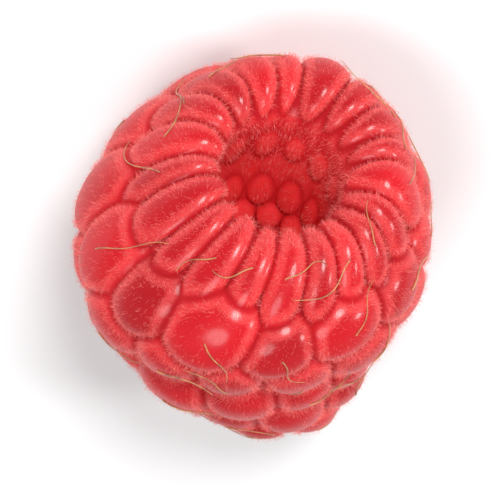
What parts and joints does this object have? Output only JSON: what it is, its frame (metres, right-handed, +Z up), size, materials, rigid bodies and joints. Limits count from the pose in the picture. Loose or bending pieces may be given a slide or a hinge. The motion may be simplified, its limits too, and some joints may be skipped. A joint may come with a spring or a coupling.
{
  "type": "raspberry",
  "caption": "Ripe raspberry as picked: drupelets grown together round a hollow, lying on its side with the mouth turned up a little.",
  "frame": {"origin": "on the table, under the middle of the fruit's bounding box", "axes": "+Z up from the table, -Y the way the mouth of the hollow faces, X across the fruit"},
  "size_m": [0.0176, 0.0208, 0.017],
  "materials": {
    "flesh": "juicy translucent red skin with a soft gloss and pale down"
  },
  "bodies": {
    "root": {"raspberry": "flesh"}
  },
  "joints": []
}
